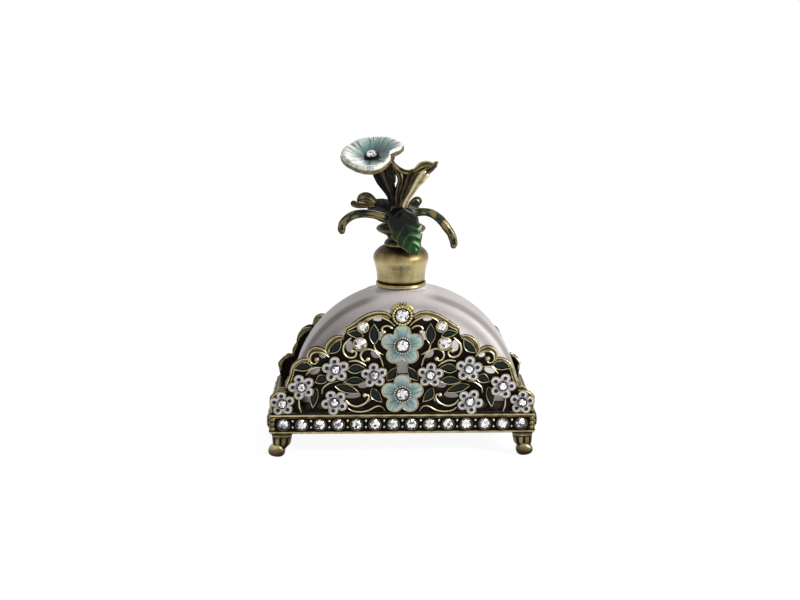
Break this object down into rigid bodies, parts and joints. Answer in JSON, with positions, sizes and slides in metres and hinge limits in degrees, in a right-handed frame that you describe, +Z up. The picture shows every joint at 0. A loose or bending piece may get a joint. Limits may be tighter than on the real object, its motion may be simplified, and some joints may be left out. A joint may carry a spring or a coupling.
{
  "type": "bottle on a stand",
  "caption": "Half-moon glass flask held between openwork enamelled panels on a footed stand, with a lift-out stopper that carries a flower finial.",
  "frame": {"origin": "middle of the footprint, on the surface that the feet stand on", "axes": "+Z up, +X to the right seen from the front, front panel towards -Y"},
  "size_m": [0.0856, 0.0466, 0.0981],
  "materials": {
    "antique_brass": "antique, worn bright on the high parts",
    "dark_brass": "brown patina",
    "crystal": "clear, foil backed, in brass cups",
    "teal_enamel": "glossy, cream at the rims",
    "lilac_enamel": "glossy, pearly",
    "cream_enamel": "glossy, with teal streaks",
    "green_enamel": "clear green over textured brass",
    "pearl_glass": "frosted, pearly grey",
    "cork": "plain",
    "rod_glass": "clear"
  },
  "bodies": {
    "bottle": {"base_tray": "antique_brass", "front_band": "antique_brass", "back_band": "antique_brass", "left_band": "antique_brass", "right_band": "antique_brass", "front_stone_chain": "crystal", "back_stone_chain": "crystal", "left_stone_chain": "crystal", "right_stone_chain": "crystal", "front_left_foot": "dark_brass", "front_right_foot": "dark_brass", "back_left_foot": "dark_brass", "back_right_foot": "dark_brass", "front_panel": "antique_brass", "back_panel": "antique_brass", "front_top_jewel": "crystal", "back_top_jewel": "crystal", "front_upper_large_flower": "teal_enamel", "front_lower_large_flower": "teal_enamel", "back_upper_large_flower": "teal_enamel", "back_lower_large_flower": "teal_enamel", "front_left_corner_flower": "lilac_enamel", "front_left_outer_flower": "lilac_enamel", "front_left_shoulder_flower": "lilac_enamel", "front_left_inner_flower": "lilac_enamel", "front_left_lower_flower": "lilac_enamel", "front_right_corner_flower": "lilac_enamel", "front_right_outer_flower": "lilac_enamel", "front_right_shoulder_flower": "lilac_enamel", "front_right_inner_flower": "lilac_enamel", "front_right_lower_flower": "lilac_enamel", "back_left_corner_flower": "lilac_enamel", "back_left_outer_flower": "lilac_enamel", "back_left_shoulder_flower": "lilac_enamel", "back_left_inner_flower": "lilac_enamel", "back_left_lower_flower": "lilac_enamel", "back_right_corner_flower": "lilac_enamel", "back_right_outer_flower": "lilac_enamel", "back_right_shoulder_flower": "lilac_enamel", "back_right_inner_flower": "lilac_enamel", "back_right_lower_flower": "lilac_enamel", "glass_bottle": "pearl_glass", "neck_ring": "antique_brass"},
    "stopper": {"stopper_cap": "antique_brass", "stopper_plug": "cork", "dipper_rod": "rod_glass", "finial_stem": "dark_brass", "finial_flower": "cream_enamel", "finial_crystal": "crystal", "trumpet_bud": "antique_brass", "left_front_leaf": "green_enamel", "left_back_leaf": "green_enamel", "right_back_leaf": "green_enamel", "right_front_leaf": "green_enamel", "centre_front_leaf": "green_enamel"}
  },
  "joints": [
    {"name": "stopper_lift", "type": "slide", "parent": "bottle", "child": "stopper", "axis": [0, 0, 1], "range_m": [0, 0.028]}
  ]
}
